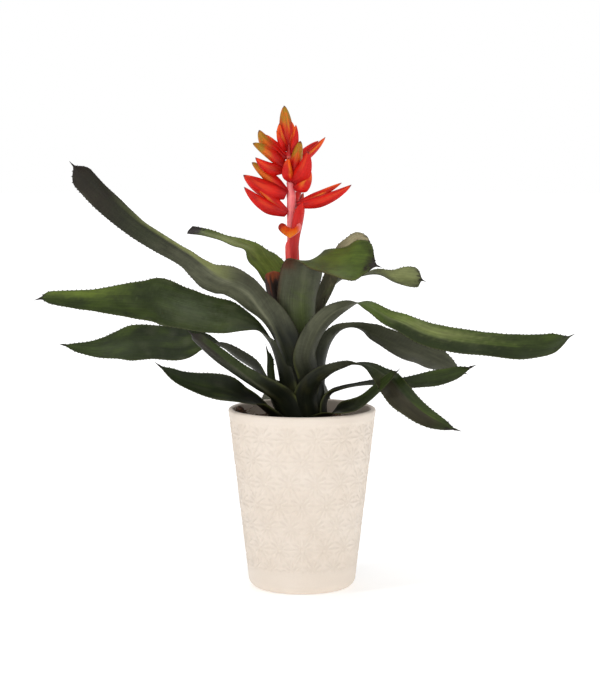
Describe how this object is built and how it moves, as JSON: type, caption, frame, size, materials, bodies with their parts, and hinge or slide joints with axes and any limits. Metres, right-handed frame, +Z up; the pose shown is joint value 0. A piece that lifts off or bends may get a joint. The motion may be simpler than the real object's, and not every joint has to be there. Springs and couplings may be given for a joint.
{
  "type": "potted aechmea",
  "caption": "Bromeliad in flower: arching strap leaves with spiny edges round a branched spike of pointed red bracts, in soil in a plain tapered ceramic pot.",
  "frame": {"origin": "centre of the pot's underside, on the surface that the pot stands on", "axes": "+Z up along the pot's axis; +X to the right in the picture's view, towards the longest right-hand leaf; +Y away from the viewer"},
  "size_m": [0.4062, 0.2504, 0.3787],
  "materials": {
    "pot": "satin",
    "soil": "matte",
    "sheath": "matte",
    "leaf": "satin",
    "dry_leaf": "matte",
    "stalk": "satin",
    "wrap": "satin",
    "bract": "satin",
    "dry_bract": "matte"
  },
  "bodies": {
    "root": {"pot": "pot", "soil": "soil", "short_stem": "sheath", "flower_stalk": "stalk", "bract_wrap": "wrap", "bract_curl": "bract", "bract_strap": "bract", "bract_brown": "dry_bract", "leaf_dry_curl": "dry_leaf", "leaf_back_left_short": "leaf", "leaf_front_fold": "leaf", "leaf_back_right": "leaf", "leaf_long_left": "leaf", "leaf_long_right": "leaf", "leaf_back_high": "leaf", "leaf_wide_left": "leaf", "leaf_right_second": "leaf", "leaf_left_second": "leaf", "leaf_left_front_short": "leaf", "leaf_right_third": "leaf", "leaf_back_low": "leaf", "leaf_back_low_right": "leaf", "leaf_back_low_left": "leaf", "leaf_right_fourth": "leaf", "leaf_left_low": "leaf", "leaf_right_front_short": "leaf", "leaf_small_shoot": "leaf", "spray_lower_left": "bract", "spray_lower_right": "bract", "spray_behind": "bract", "spray_left": "bract", "spray_right_round": "bract", "spray_front": "bract", "spray_upper_left": "bract", "spray_behind_high": "bract", "spray_upper_right": "bract", "spray_top_left": "bract", "spray_top_small": "bract", "spray_top_right": "bract", "spray_tip": "bract"}
  },
  "joints": []
}
